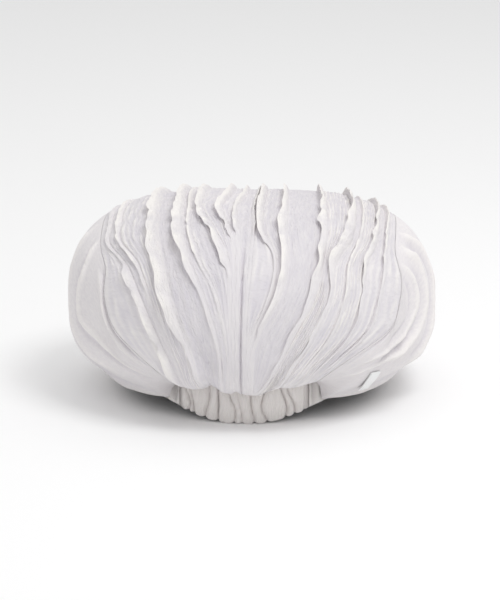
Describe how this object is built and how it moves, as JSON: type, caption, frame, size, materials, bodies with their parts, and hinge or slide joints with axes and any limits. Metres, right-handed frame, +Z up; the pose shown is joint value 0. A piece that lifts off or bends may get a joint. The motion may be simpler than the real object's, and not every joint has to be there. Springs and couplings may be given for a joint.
{
  "type": "hunting cap",
  "caption": "Puffed hunting cap of tucked crepe, with a gathered elastic back band, plain headband, peak and a small bare side label.",
  "frame": {"origin": "under the middle of the cap's length and width, on the surface that it stands on", "axes": "+Z up, +Y from the back of the cap towards its peak, +X to the right as seen from behind"},
  "size_m": [0.2626, 0.2896, 0.1442],
  "materials": {
    "tucked_crepe": "matt off-white crepe with fine lengthwise crinkles and raised tucks",
    "plain_crepe": "matt off-white crepe, smoother, in long soft folds",
    "gathered_cloth": "matt off-white cloth gathered on elastic",
    "band_cloth": "matt off-white plain cloth",
    "peak_cloth": "matt off-white cloth with rows of stitching",
    "label_tape": "smooth white woven tape, bare"
  },
  "bodies": {
    "root": {"top_panel": "tucked_crepe", "left_side_panel": "plain_crepe", "right_side_panel": "plain_crepe", "back_band": "gathered_cloth", "front_band": "band_cloth", "peak": "peak_cloth", "side_label": "label_tape"}
  },
  "joints": []
}
